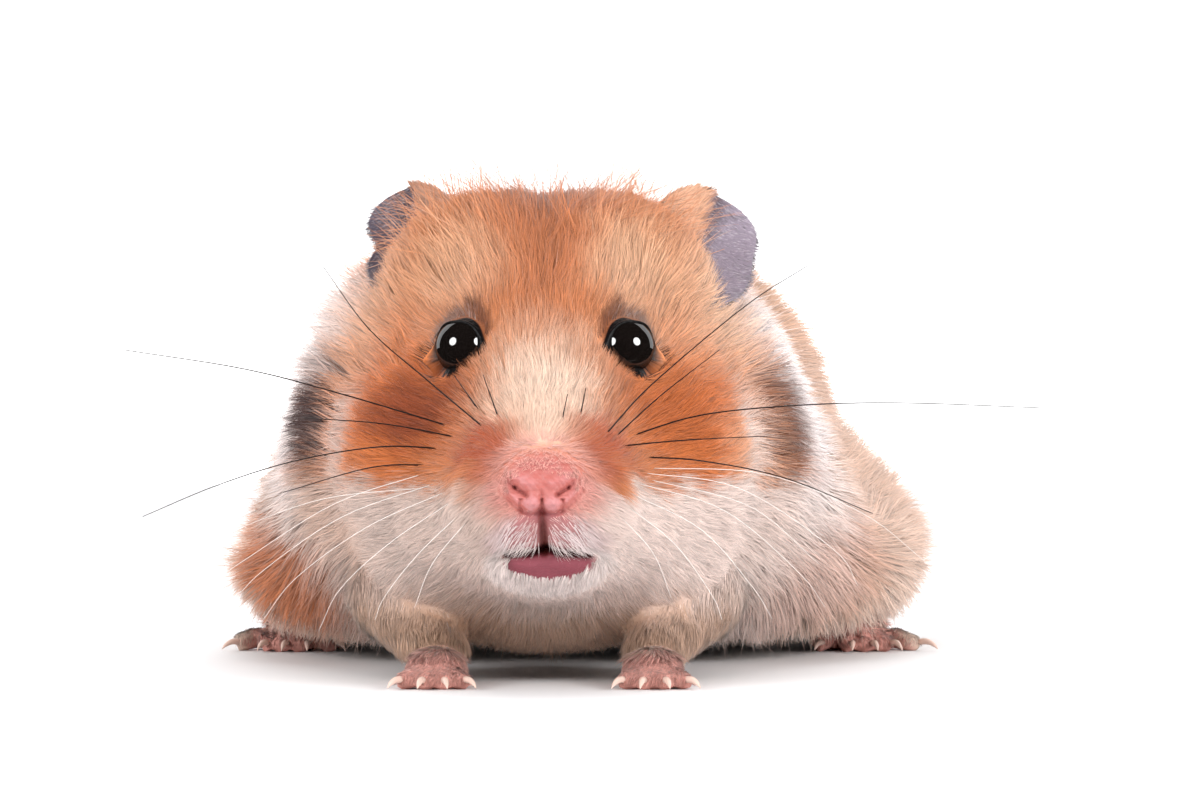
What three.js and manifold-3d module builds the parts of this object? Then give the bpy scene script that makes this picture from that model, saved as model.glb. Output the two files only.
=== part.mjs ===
// A Syrian hamster crouched on its four paws, at life size and in millimetres.
// +Z is up and the floor is Z = 0. The head faces -Y and the animal's left side is +X.
// The body is one blended surface, out to the tips of the coat, that is parted into
// head, muzzle, nose, jaw, neck, trunk and thighs by cuts of CUT mm. Eyes, ears, forelegs,
// paws, claws and tail are pieces of their own.
import * as THREE from 'three';
import { ParametricGeometry } from 'three/addons/geometries/ParametricGeometry.js';
import { mergeVertices } from 'three/addons/utils/BufferGeometryUtils.js';
import Module from 'manifold-3d';

const wasm = await Module();
wasm.setup();

// ---------- driving dimensions ----------
const CUT = 0.3; // gap between neighbouring pieces
const EYE = { x: 8.1, y: -1.6, z: 34.4, radius: 3.1 };
const BELLY_LIFT = 1.2; // height of the coat of the belly above the floor
// Behind `from` the body curves to its left, up to `slope` mm sideways for each mm back.
const BEND = { from: 22, slope: 0.09, ease: 12 };
const AROUND = 32; // faces round the body
const ALONG = 38; // faces from the nose to the tail

// The masses of the body in the order they are blended on. `at` is the centre and `size` the
// three radii. A `side` mass is mirrored on both sides, and `blend` is the width of its fillet.
// A `taper` runs from a small ball at `at` to a larger one at `to`.
const MASSES = [
  { name: 'face', taper: true, at: [0, -12.0, 20.3], radius: 6.4, to: [0, 15, 33.5], wide: 17.2, blend: 1 },
  { name: 'brow', side: true, at: [4.6, 4.5, 36.2], size: [4.8, 6.6, 4.8], blend: 2.5 },
  { name: 'crown', side: true, at: [7.5, 17, 39], size: [11, 13, 12.2], blend: 5 },
  { name: 'cheek', side: true, at: [11.5, 9.5, 22.5], size: [10.5, 14.5, 12.5], blend: 5 },
  { name: 'lip', side: true, at: [4.2, -11.6, 18.2], size: [5.4, 7.4, 5.0], blend: 5 },
  { name: 'jowl', side: true, at: [8.0, -3.2, 17.0], size: [6.2, 7.2, 6.2], blend: 5.5 },
  { name: 'chin', at: [0, -7.6, 13.6], size: [6.8, 8.8, 4.9], blend: 3.5 },
  { name: 'nose', at: [0, -17.9, 20.9], size: [3.6, 2.8, 3.0], blend: 3 },
  { name: 'throat', at: [0, 12, 12.5], size: [19, 17, 10.4], blend: 5 },
  { name: 'ruff', side: true, at: [16.5, 27, 25], size: [12.5, 16.5, 17.5], blend: 6 },
  { name: 'nape', at: [0, 34, 31], size: [22.5, 23, 20.5], blend: 8 },
  { name: 'shoulder', side: true, at: [14, 42, 17], size: [20.3, 19, 16.5], blend: 8 },
  { name: 'back', at: [0, 66, 26.5], size: [31, 36, 26], blend: 9 },
  { name: 'flank', side: true, at: [25, 67, 10], size: [17, 34, 10.4], blend: 7 },
  { name: 'haunch', side: true, at: [20, 87, 13.5], size: [20.5, 23, 13.5], blend: 9 },
  { name: 'rump', at: [0, 92, 22], size: [29, 25, 20.5], blend: 10 },
];

// The line inside the body that its surface is measured from, from muzzle to rump.
const CORE = new THREE.CatmullRomCurve3([
  new THREE.Vector3(0, -11, 18.2),
  new THREE.Vector3(0, 4, 22),
  new THREE.Vector3(0, 30, 22),
  new THREE.Vector3(0, 62, 18),
  new THREE.Vector3(0, 92, 17),
]);
const NOSE_FAN = 0.22; // share of the faces that fan out over the muzzle
const RUMP_FAN = 0.16; // and over the rump
const SIDE_CROWD = 0.2; // how far the faces behind the muzzle gather toward the flanks, in radians

// Planes that part the blended body. Each normal faces the later piece named.
const NECK_FRONT = { at: [0, 23, 25], normal: [0, 1, 0.12] }; // head, then neck
const NECK_BACK = { at: [0, 42, 25], normal: [0, 1, 0] }; // neck, then trunk
const MUZZLE = { at: [0, -6.5, 18], normal: [0, -1, 0.1] }; // head, then muzzle and jaw
const MOUTH = { at: [0, -14, 14.3], normal: [0, 0.12, -1] }; // muzzle, then jaw
const NOSE_PAD = { at: [0, -19, 21.2], size: [4.1, 3.4, 3.4] };

// Legs. `arm` and `thigh` are the balls of coat and muscle that move with each limb, and the
// forearm runs from elbow to wrist. Every x is for the left side and is mirrored.
const ARM = { at: [19, 24, 10], size: [11.5, 14, 11] };
const FOREARM = { from: [15, 15, 9], start: 5.6, to: [11, 1.5, 3.9], end: 3.0 };
const THIGH = { at: [32, 87, 15], size: [14.5, 18, 16.5] };
const PAW = { x: 11, y: -2.6, turn: 0, size: [3.0, 3.9, 2.5], toe: 1.0, reach: 3.2 };
const PAW_TOES = [-0.5, -0.16, 0.18, 0.55]; // turn of each toe outward, in radians
const FOOT = { x: 32, y: 68, turn: 0.16, size: [3.3, 9.2, 2.7], toe: 1.1, reach: 4.4 };
const FOOT_TOES = [-0.55, -0.22, 0, 0.22, 0.6];
const CLAW = { radius: 0.48, length: 2.3 };
const TAIL = { from: [0, 111, 12.5], start: 3.2, to: [0, 121.5, 9.5], end: 1.3 };

// Ears are thin cups. `half` is half the width and half the height, `deep` is how far the cup
// is hollowed and `lean` how far it tips back, turns outward and rolls to the side.
const EARS = {
  ear_left: { at: [16.3, 17.5, 44.9], half: [6.1, 7.3], deep: 2.2, lean: [-0.5, 0.42, 0.58], notch: 0.08 },
  ear_right: { at: [-14.4, 17.5, 45.4], half: [5.4, 7.3], deep: 2.2, lean: [-0.5, -0.5, -0.5], notch: 0.26 },
};
const EAR_THICK = 1.0;
const NOTCH = { turn: Math.PI / 8, width: 0.04 }; // halfway up the outer side of the rim

// colour, roughness
const COATS = {
  ginger: [0xc9793c, 0.85],
  tan: [0xc79b73, 0.88],
  white: [0xeee4d8, 0.88],
  grey: [0x6b6262, 0.75],
  pink: [0xd9948c, 0.6],
  black: [0x0a0808, 0.12],
  horn: [0xd8c4b4, 0.4],
};

// ---------- the blended body surface ----------
// How far the body's mid-plane lies to the left, `y` mm behind the eyes.
function sideShift(y) {
  const past = Math.max(0, y - BEND.from);
  return (BEND.slope * past * past) / (past + BEND.ease);
}

function ellipsoidGap(p, mass) {
  const [dx, dy, dz] = [p.x - mass.at[0], p.y - mass.at[1], p.z - mass.at[2]];
  const [a, b, c] = mass.size;
  const scaled = Math.hypot(dx / a, dy / b, dz / c);
  const slope = Math.hypot(dx / (a * a), dy / (b * b), dz / (c * c));
  return slope < 1e-9 ? -Math.min(a, b, c) : (scaled * (scaled - 1)) / slope;
}

function taperGap(p, mass) {
  const start = new THREE.Vector3(...mass.at);
  const axis = new THREE.Vector3(...mass.to).sub(start);
  const length = axis.length();
  axis.normalize();
  const along = p.clone().sub(start).dot(axis);
  const off = p.clone().sub(start).addScaledVector(axis, -along).length();
  // The side of the cone touches both balls, so it leans by the difference of their radii.
  const lean = (mass.wide - mass.radius) / length;
  const share = THREE.MathUtils.clamp((along + (off * lean) / Math.sqrt(1 - lean * lean)) / length, 0, 1);
  const centre = start.addScaledVector(axis, share * length);
  return p.distanceTo(centre) - THREE.MathUtils.lerp(mass.radius, mass.wide, share);
}

function blendGap(a, b, width) {
  const reach = Math.max(width - Math.abs(a - b), 0) / width;
  return Math.min(a, b) - (reach * reach * width) / 4;
}

// Distance of a point from the body surface, negative inside.
function bodyGap(point) {
  const p = new THREE.Vector3(Math.abs(point.x - sideShift(point.y)), point.y, point.z);
  let gap = Infinity;
  for (const mass of MASSES) {
    const own = mass.taper ? taperGap(p, mass) : ellipsoidGap(p, mass);
    gap = gap === Infinity ? own : blendGap(gap, own, mass.blend);
  }
  return gap;
}

// Moves `target` from a point inside along a ray to where the ray first leaves the body.
function leaveBody(from, ray, target) {
  target.copy(from);
  for (let step = 0; step < 80; step++) {
    const gap = bodyGap(target);
    if (gap > -0.005) return;
    target.addScaledVector(ray, -gap * 0.6);
  }
}

function bodyGeometry() {
  return new ParametricGeometry(
    (u, v, target) => {
      const run = (v - NOSE_FAN) / (1 - NOSE_FAN - RUMP_FAN);
      const share = THREE.MathUtils.clamp(run, 0, 1) ** 1.3; // closer rings at the head
      const from = CORE.getPoint(share);
      const axis = CORE.getTangent(share);
      from.x += sideShift(from.y);
      const up = new THREE.Vector3(1, 0, 0).cross(axis).normalize();
      let lean = 0; // angle of the ray from square across the core line
      if (run < 0) lean = (-Math.PI / 2) * (1 - v / NOSE_FAN);
      if (run > 1) lean = (Math.PI / 2) * (1 - (1 - v) / RUMP_FAN);
      const even = u * 2 * Math.PI;
      const turn = even - (run < 0 ? 0 : SIDE_CROWD) * Math.sin(2 * even);
      const ray = new THREE.Vector3(Math.cos(turn), 0, 0)
        .addScaledVector(up, Math.sin(turn))
        .multiplyScalar(Math.cos(lean))
        .addScaledVector(axis, Math.sin(lean));
      leaveBody(from, ray.normalize(), target);
    },
    AROUND,
    ALONG,
  );
}

// ---------- solids: joining and cutting ----------
// A closed solid from a geometry. One whose faces point inward is turned right side out.
function solid(geometry) {
  const bare = geometry.clone();
  for (const name of ['normal', 'uv']) bare.deleteAttribute(name);
  const merged = mergeVertices(bare, 1e-3);
  const index = merged.index.array;
  const kept = [];
  for (let i = 0; i < index.length; i += 3) {
    const [a, b, c] = index.slice(i, i + 3);
    if (a !== b && b !== c && c !== a) kept.push(a, b, c);
  }
  const vertProperties = merged.attributes.position.array;
  const made = new wasm.Manifold(new wasm.Mesh({ numProp: 3, vertProperties, triVerts: new Uint32Array(kept) }));
  if (made.volume() > 0) return made;
  const turned = new Uint32Array(kept.reverse());
  return new wasm.Manifold(new wasm.Mesh({ numProp: 3, vertProperties, triVerts: turned }));
}

function largest(made) {
  return made.decompose().reduce((best, one) => (one.volume() > best.volume() ? one : best));
}

// An ellipsoid whose radii are all larger by `grow`, turned about its own centre.
function ball(part, side, grow = 0, sides = 12) {
  const geometry = new THREE.SphereGeometry(1, sides, Math.round(sides * 0.6));
  geometry.scale(...part.size.map((radius) => radius + grow));
  const [rx, ry, rz] = part.turn ?? [0, 0, 0];
  geometry.rotateX(rx).rotateY(ry * side).rotateZ(rz * side);
  const [x, y, z] = part.at;
  return solid(geometry.translate(x * side + sideShift(y), y, z));
}

// A limb with round ends that tapers from one ball to another.
function limb(part, side, grow = 0, sides = 8) {
  const from = new THREE.Vector3(part.from[0] * side + sideShift(part.from[1]), part.from[1], part.from[2]);
  const to = new THREE.Vector3(part.to[0] * side + sideShift(part.to[1]), part.to[1], part.to[2]);
  const length = from.distanceTo(to);
  const outline = [];
  const steps = 3;
  for (let i = 0; i <= steps; i++) {
    const angle = (i / steps) * (Math.PI / 2);
    const radius = part.start + grow;
    outline.push(new THREE.Vector2(radius * Math.sin(angle), -radius * Math.cos(angle)));
  }
  for (let i = 0; i <= steps; i++) {
    const angle = (i / steps) * (Math.PI / 2);
    const radius = part.end + grow;
    outline.push(new THREE.Vector2(radius * Math.cos(angle), length + radius * Math.sin(angle)));
  }
  outline[0].x = 0;
  outline[outline.length - 1].x = 0;
  const geometry = new THREE.LatheGeometry(outline, sides);
  const along = to.clone().sub(from).normalize();
  geometry.applyQuaternion(new THREE.Quaternion().setFromUnitVectors(new THREE.Vector3(0, 1, 0), along));
  return solid(geometry.translate(from.x, from.y, from.z));
}

// Everything on the side of a plane that its normal faces, starting `past` mm beyond it.
function halfSpace(plane, past) {
  const reach = 400;
  const geometry = new THREE.BoxGeometry(reach, reach, reach).translate(0, 0, reach / 2 + past);
  const facing = new THREE.Vector3(...plane.normal).normalize();
  geometry.applyQuaternion(new THREE.Quaternion().setFromUnitVectors(new THREE.Vector3(0, 0, 1), facing));
  return solid(geometry.translate(...plane.at));
}

// Parts a solid at a plane into the piece before it and the piece after it.
function parted(made, plane) {
  return [made.subtract(halfSpace(plane, -CUT / 2)), made.intersect(halfSpace(plane, CUT / 2))];
}

// ---------- paws, claws and ears ----------
const FLOOR = { at: [0, 0, 0], normal: [0, 0, -1] };

function toe(part, angle, side) {
  const geometry = new THREE.CapsuleGeometry(part.toe, part.reach, 1, 6);
  const front = part.size[1] * 0.62 + part.reach / 2;
  geometry.translate(0, -front, part.toe * 0.8);
  geometry.rotateZ((angle + part.turn) * side);
  return solid(geometry.translate(part.x * side + sideShift(part.y), part.y, 0));
}

function palm(part, side) {
  const at = [part.x, part.y, part.size[2] * 0.62];
  return ball({ at, size: part.size, turn: [0, 0, part.turn] }, side, 0, 10);
}

function paw(part, toes, side) {
  const whole = toes.reduce((sum, angle) => sum.add(toe(part, angle, side)), palm(part, side));
  return whole.subtract(halfSpace(FLOOR, 0));
}

// The hollow in the coat that a paw stands in: a ball round the palm and a wide one round the toes.
function pawRoom(part, side) {
  const heel = { at: [part.x, part.y, part.size[2] * 0.62], size: part.size, turn: [0, 0, part.turn] };
  const front = part.size[1] * 0.62 + part.reach / 2;
  const across = (part.size[1] * 0.62 + part.reach + part.toe) * 0.92;
  const at = [part.x + Math.sin(part.turn) * front, part.y - Math.cos(part.turn) * front, 0];
  const toes = { at, size: [across, part.reach * 1.7, part.toe * 3.1], turn: [0, 0, part.turn] };
  return ball(heel, side, 3 * CUT, 8).add(ball(toes, side, 0, 10));
}

function claw(part, angle, side) {
  const geometry = new THREE.ConeGeometry(CLAW.radius, CLAW.length, 6);
  const tip = part.size[1] * 0.62 + part.reach + part.toe + CLAW.length * 0.48 + CUT / 2;
  geometry.rotateX(Math.PI + 0.15).translate(0, -tip, part.toe * 0.75);
  geometry.rotateZ((angle + part.turn) * side);
  return solid(geometry.translate(part.x * side + sideShift(part.y), part.y, 0));
}

// A cup with a squarish rim: the front face runs out from its middle to the rim and the back
// face returns. The rim has a small notch on its outer side.
function ear(part, grow = 0) {
  const side = Math.sign(part.at[0]);
  const geometry = new ParametricGeometry(
    (u, v, target) => {
      const out = v < 0.5 ? 2 * v : 2 * (1 - v);
      const face = v < 0.5 ? -1 : 1;
      const turn = u * 2 * Math.PI;
      const square = (Math.abs(Math.cos(turn)) ** 2.8 + Math.abs(Math.sin(turn)) ** 2.8) ** (-1 / 2.8);
      const dent = 1 - part.notch * out * Math.exp((Math.cos(turn - NOTCH.turn) - 1) / NOTCH.width);
      const rim = square * dent;
      const low = Math.max(0, -Math.sin(turn));
      const wide = (part.half[0] + 2 * grow) * (1 - 0.3 * low * low);
      const thick = (EAR_THICK / 2 + 1.5 * grow) * Math.sqrt(1 - out ** 6);
      const cup = part.deep * (1 - (out * (1 + (2 * grow) / part.half[0])) ** 2);
      target.set(
        side * wide * rim * Math.cos(turn) * out,
        cup + face * thick,
        (part.half[1] + 2 * grow) * rim * Math.sin(turn) * out,
      );
    },
    16,
    6,
  );
  const [back, outward, roll] = part.lean;
  geometry.rotateY(roll).rotateX(back).rotateZ(outward);
  return solid(geometry.translate(...part.at));
}

// ---------- the animal ----------
const pieces = {};

function addPiece(name, made, coat) {
  pieces[name] = { made: largest(made), coat };
}

// Adds the legs and paws and returns the body with room for them.
function buildLimbs(whole) {
  let rest = whole;
  for (const [name, side] of [['left', 1], ['right', -1]]) {
    addPiece(`forepaw_${name}`, paw(PAW, PAW_TOES, side), 'pink');
    addPiece(`hindfoot_${name}`, paw(FOOT, FOOT_TOES, side), 'pink');
    PAW_TOES.forEach((angle, i) => addPiece(`foreclaw_${name}_${i + 1}`, claw(PAW, angle, side), 'horn'));
    FOOT_TOES.forEach((angle, i) => addPiece(`hindclaw_${name}_${i + 1}`, claw(FOOT, angle, side), 'horn'));
    const room = pawRoom(PAW, side).add(pawRoom(FOOT, side));
    const arm = whole.intersect(ball(ARM, side)).add(limb(FOREARM, side));
    addPiece(`foreleg_${name}`, arm.subtract(room).subtract(halfSpace(FLOOR, -BELLY_LIFT)), 'white');
    addPiece(`thigh_${name}`, whole.intersect(ball(THIGH, side)).subtract(room), 'tan');
    for (const cut of [room, ball(ARM, side, CUT), limb(FOREARM, side, CUT), ball(THIGH, side, CUT)]) {
      rest = rest.subtract(cut);
    }
  }
  return rest;
}

// Adds the eyes and ears and returns the body with room for them.
function buildSenses(whole) {
  let rest = whole;
  for (const [name, side] of [['left', 1], ['right', -1]]) {
    const eye = { at: [EYE.x, EYE.y, EYE.z], size: [EYE.radius, EYE.radius, EYE.radius] };
    addPiece(`eye_${name}`, ball(eye, side, 0, 14), 'black');
    addPiece(`ear_${name}`, ear(EARS[`ear_${name}`]), 'grey');
    rest = rest.subtract(ball(eye, side, CUT * 1.3)).subtract(ear(EARS[`ear_${name}`], CUT));
  }
  return rest;
}

function buildHead(head) {
  const [skull, snout] = parted(head, MUZZLE);
  const [muzzle, jaw] = parted(snout, MOUTH);
  addPiece('head', skull, 'ginger');
  addPiece('nose', muzzle.intersect(ball(NOSE_PAD, 1)), 'pink');
  addPiece('muzzle', muzzle.subtract(ball(NOSE_PAD, 1, CUT)), 'white');
  addPiece('lower_jaw', jaw, 'white');
}

function buildBody() {
  const coat = solid(bodyGeometry()).subtract(halfSpace(FLOOR, -BELLY_LIFT));
  const whole = coat.subtract(limb(TAIL, 1, CUT));
  const [head, rear] = parted(buildLimbs(buildSenses(whole)), NECK_FRONT);
  const [neck, trunk] = parted(rear, NECK_BACK);
  buildHead(head);
  addPiece('neck', neck, 'ginger');
  addPiece('trunk', trunk, 'tan');
  addPiece('tail', limb(TAIL, 1), 'pink');
}

function toMesh(name, { made, coat }) {
  const mesh = made.getMesh();
  const geometry = new THREE.BufferGeometry();
  geometry.setAttribute('position', new THREE.BufferAttribute(new Float32Array(mesh.vertProperties), 3));
  geometry.setIndex(new THREE.BufferAttribute(new Uint32Array(mesh.triVerts), 1));
  geometry.computeVertexNormals();
  const [color, roughness] = COATS[coat];
  const material = new THREE.MeshStandardMaterial({ color, roughness, metalness: 0 });
  material.name = coat;
  const piece = new THREE.Mesh(geometry, material);
  piece.name = name;
  return piece;
}

buildBody();
const hamster = new THREE.Group();
hamster.name = 'syrian_hamster';
for (const [name, piece] of Object.entries(pieces)) hamster.add(toMesh(name, piece));

// The origin goes to the middle of the footprint.
const box = new THREE.Box3().setFromObject(hamster);
for (const piece of hamster.children) {
  piece.geometry.translate(-(box.min.x + box.max.x) / 2, -(box.min.y + box.max.y) / 2, 0);
}

export default hamster;
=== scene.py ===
import math
import bmesh
import bpy
import numpy as np
from mathutils import Matrix, Vector
from mathutils.kdtree import KDTree


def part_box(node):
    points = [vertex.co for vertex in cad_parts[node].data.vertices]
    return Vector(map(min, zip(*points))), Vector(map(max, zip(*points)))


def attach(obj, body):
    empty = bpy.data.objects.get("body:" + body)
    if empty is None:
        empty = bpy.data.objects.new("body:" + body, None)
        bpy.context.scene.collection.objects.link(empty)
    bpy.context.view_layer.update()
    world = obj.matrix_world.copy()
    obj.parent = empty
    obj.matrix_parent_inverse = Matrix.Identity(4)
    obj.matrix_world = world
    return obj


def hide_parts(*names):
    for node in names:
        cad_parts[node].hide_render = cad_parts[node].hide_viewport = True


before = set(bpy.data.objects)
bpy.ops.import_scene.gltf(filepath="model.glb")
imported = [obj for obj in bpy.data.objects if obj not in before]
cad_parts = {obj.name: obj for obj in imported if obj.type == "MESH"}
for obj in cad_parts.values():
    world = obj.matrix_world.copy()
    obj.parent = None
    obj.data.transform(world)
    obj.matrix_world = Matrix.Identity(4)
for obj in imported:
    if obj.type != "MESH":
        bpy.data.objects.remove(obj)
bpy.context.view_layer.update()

# ---------------------------------------------------------------------------
# Skin. One hide covers the whole hamster, from nose to tail and down to the
# toes. It lies inside the coat by the depth of the hair, and is bare on the
# nose, the lips, the rims of the eyes and the paws.
# ---------------------------------------------------------------------------
# All sizes are in millimetres. Places are measured from the middle of the head, with
# the front of the eye sockets near Y = 0, the animal's left side at +X and the floor at Z = 0.
EYE = np.array([8.1, -1.6, 34.4])
eye_corners = {side: np.array(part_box(f"eye_{side}")) * 1000 for side in ("left", "right")}
EYE_RADIUS = float(np.ptp(eye_corners["left"][:, 2])) / 2
eye_middle = (eye_corners["left"].mean(axis=0) + eye_corners["right"].mean(axis=0)) / 2
HEAD_AT = np.array([eye_middle[0], eye_middle[1] - EYE[1], 0.0])

# Masses of the body out to the tips of the coat: centre, three radii, width of the fillet.
SNOUT = ((0, -12.0, 20.3), 6.4, (0, 15, 33.5), 17.2)
MASSES = [
    ((4.6, 4.5, 36.2), (4.8, 6.6, 4.8), 2.5),
    ((7.5, 17, 39), (11, 13, 12.2), 5),
    ((11.5, 9.5, 22.5), (10.5, 14.5, 12.5), 5),
    ((4.2, -11.6, 18.2), (5.4, 7.4, 5.0), 5),
    ((8.0, -3.2, 17.0), (6.2, 7.2, 6.2), 5.5),
    ((0, -7.6, 13.6), (6.8, 8.8, 4.9), 3.5),
    ((0, -17.9, 20.9), (3.6, 2.8, 3.0), 3),
    ((0, 12, 12.5), (19, 17, 10.4), 5),
    ((16.5, 27, 25), (12.5, 16.5, 17.5), 6),
    ((0, 34, 31), (22.5, 23, 20.5), 8),
    ((14, 42, 17), (20.3, 19, 16.5), 8),
    ((0, 66, 26.5), (31, 36, 26), 9),
    ((25, 67, 10), (17, 34, 10.4), 7),
    ((20, 87, 13.5), (20.5, 23, 13.5), 9),
    ((0, 92, 22), (29, 25, 20.5), 10),
]
BELLY = 1.2  # height of the belly's coat above the floor
BEND_FROM, BEND_SLOPE, BEND_EASE = 22, 0.09, 12  # how the body curves to the left behind the neck
ARM = ((15, 15, 9), 5.6, (11, 1.5, 3.9), 3.0)
TAIL = ((0, 111, 12.5), 3.2, (0, 121.5, 9.5), 1.3)
# Paws: x, y, turn outward, radii of the palm, radius and length of a toe, turns of the toes.
PAWS = [
    (11, -2.6, 0.0, (3.0, 3.9, 2.5), 1.0, 3.2, (-0.5, -0.16, 0.18, 0.55)),
    (32, 68, 0.16, (3.3, 9.2, 2.7), 1.1, 4.4, (-0.55, -0.22, 0.0, 0.22, 0.6)),
]
PALM_HIGH, TOES_FROM = 0.62, 0.62  # the palm's middle and the roots of the toes, in its radii
# Ears: middle, half width and height, depth of the cup, lean back, outward and roll, notch.
EARS = {
    1: ((16.3, 17.5, 44.9), (6.1, 7.3), 2.2, (-0.5, 0.42, 0.58), 0.08),
    -1: ((-14.4, 17.5, 45.4), (5.4, 7.3), 2.2, (-0.5, -0.5, -0.5), 0.26),
}
EAR_HALF_THICK = 0.4
EAR_SQUARE = 2.8  # how squarish the rim is: 2 would be an ellipse
EAR_FOOT = 0.3  # share by which the ear narrows toward its foot
NOTCH_TURN, NOTCH_WIDTH = math.pi / 8, 0.04  # halfway up the outer side of the rim


def side_shift(y):
    past = np.maximum(0, y - BEND_FROM)
    return BEND_SLOPE * past * past / (past + BEND_EASE)


def mirrored(p):
    """Points as distances from the body's mid-plane, which bends to the left behind the neck."""
    q = p.copy()
    q[:, 0] = np.abs(p[:, 0] - side_shift(p[:, 1]))
    return q


def ramp(value, low, high):
    t = np.clip((value - low) / (high - low), 0, 1)
    return t * t * (3 - 2 * t)


def fillet(a, b, width):
    reach = np.maximum(width - np.abs(a - b), 0) / width
    return np.minimum(a, b) - reach * reach * width / 4


def ellipsoid(p, centre, radii):
    off = p - np.array(centre, dtype=float)
    scaled = np.sqrt(np.einsum("ij,ij->i", off / radii, off / radii))
    slope = np.sqrt(np.einsum("ij,ij->i", off / np.square(radii), off / np.square(radii)))
    return scaled * (scaled - 1) / np.maximum(slope, 1e-9)


def limb(p, start, r0, end, r1):
    start, end = np.array(start, float), np.array(end, float)
    length = np.linalg.norm(end - start)
    axis = (end - start) / length
    along = (p - start) @ axis
    off = np.linalg.norm(p - start - along[:, None] * axis, axis=1)
    lean = (r1 - r0) / length
    share = np.clip((along + off * lean / math.sqrt(1 - lean * lean)) / length, 0, 1)
    centre = start + share[:, None] * (end - start)
    return np.linalg.norm(p - centre, axis=1) - (r0 + share * (r1 - r0))


def coat_gap(p):
    """Distance from the tips of the body's coat, negative inside."""
    q = mirrored(p)
    gap = limb(q, *SNOUT)
    for centre, radii, width in MASSES:
        gap = fillet(gap, ellipsoid(q, centre, radii), width)
    return np.maximum(gap, BELLY - p[:, 2])


def turned(x, y, angle):
    return x * math.cos(angle) - y * math.sin(angle), x * math.sin(angle) + y * math.cos(angle)


def paw_gap(q, x, y, turn, radii, toe, reach, spread):
    lx, ly = turned(q[:, 0] - x, q[:, 1] - y, -turn)
    local = np.stack([lx, ly, q[:, 2]], axis=1)
    gap = ellipsoid(local, (0, 0, radii[2] * PALM_HIGH), radii)
    near = radii[1] * TOES_FROM
    for angle in spread:
        dx, dy = turned(0, -1, angle)
        root, knuckle, tip = [
            (dx * (near + share * reach), dy * (near + share * reach), toe * high)
            for share, high in ((0, 1.0), (0.45, 1.2), (1, 0.75))
        ]
        first = limb(local, root, toe, knuckle, toe * 1.02)
        last = limb(local, knuckle, toe * 1.02, tip, toe * 0.95)
        gap = fillet(gap, np.minimum(first, last), 0.7)
    return gap


def limb_gap(p):
    """Distance from the forearms, paws and tail."""
    gap = np.full(len(p), 99.0)
    near = (p[:, 2] < 17) & ((p[:, 1] < 30) | (p[:, 1] > 100) | (p[:, 2] < 8))
    q = mirrored(p[near])
    limbs = np.minimum(limb(q, *ARM), limb(q, *TAIL))
    low = q[:, 2] < 8
    for paw in PAWS:
        limbs[low] = fillet(limbs[low], paw_gap(q[low], *paw), 1.5)
    gap[near] = np.maximum(limbs, -q[:, 2])
    return gap


def ear_turn(lean):
    back, outward, roll = lean
    return Matrix.Rotation(outward, 3, "Z") @ Matrix.Rotation(back, 3, "X") @ Matrix.Rotation(roll, 3, "Y")


def ear_place(p, side):
    """Points in an ear's own frame, and how far out they lie, from 0 in the middle to 1 at the rim."""
    at, half, deep, lean, notch = EARS[side]
    local = (p - np.array(at)) @ np.array(ear_turn(lean))
    x, z = local[:, 0] * side, local[:, 2]
    angle = np.arctan2(z / half[1], x / half[0])
    low = np.maximum(0, -np.sin(angle))
    wide = half[0] * (1 - EAR_FOOT * low * low)
    out = (np.abs(x / wide) ** EAR_SQUARE + np.abs(z / half[1]) ** EAR_SQUARE) ** (1 / EAR_SQUARE)
    dent = 1 - notch * np.exp((np.cos(angle - NOTCH_TURN) - 1) / NOTCH_WIDTH)
    return np.stack([x, local[:, 1], z], axis=1), out / dent


def ear_gap(p):
    gap = np.full(len(p), 99.0)
    near = (p[:, 2] > 32) & (p[:, 1] < 40) & (p[:, 1] > 4)
    for side, (at, half, deep, lean, notch) in EARS.items():
        local, out = ear_place(p[near], side)
        cup = deep * (1 - np.minimum(out, 1) ** 2)
        past = np.maximum(out - 0.93, 0) * half[0]
        one = np.hypot(past, local[:, 1] - cup) - EAR_HALF_THICK
        gap[near] = np.minimum(gap[near], one)
    return gap


def from_eye(p):
    """Distance from the middle of the nearer eye."""
    return np.linalg.norm(mirrored(p) - EYE, axis=1)


def hair_depth(p):
    """How deep the skin lies under the tips of the coat."""
    y = p[:, 1]
    depth = 0.3 + 0.6 * ramp(y, -15, 0) + 1.0 * ramp(y, 2, 22) + 2.2 * ramp(y, 20, 48)
    side = np.abs(p[:, 0] - side_shift(y))
    depth = depth + 0.7 * ramp(side, 12, 22) * (1 - ramp(y, 18, 40))
    depth = depth * (0.25 + 0.75 * ramp(from_eye(p), 3.2, 7))
    low = 1 - ramp(p[:, 2], 2, 9)
    return depth * (1 - 0.45 * low * ramp(y, 25, 45))


SOCKET_AT, SOCKET_DEEP, SOCKET_WIDE = (-1.8, -2.6, -2.4), 0.9, 1.9  # measured from the eye


def socket(p):
    """How deep the face is hollowed under the inner corner of the eye, in mm."""
    off = mirrored(p) - EYE - SOCKET_AT
    return SOCKET_DEEP * np.exp(-np.einsum("ij,ij->i", off, off) / SOCKET_WIDE ** 2)


def skin_gap(p):
    body = fillet(coat_gap(p) + hair_depth(p) + socket(p), from_eye(p) - EYE_RADIUS - 0.06, 0.8)
    return fillet(body, limb_gap(p), 1.6)


def slope_of(field, p, here=None, step=0.06):
    here = field(p) if here is None else here
    slopes = []
    for axis in range(3):
        shift = np.zeros(3)
        shift[axis] = step
        slopes.append(field(p + shift) - here)
    slope = np.stack(slopes, axis=1)
    return slope / np.maximum(np.linalg.norm(slope, axis=1, keepdims=True), 1e-9)


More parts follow.
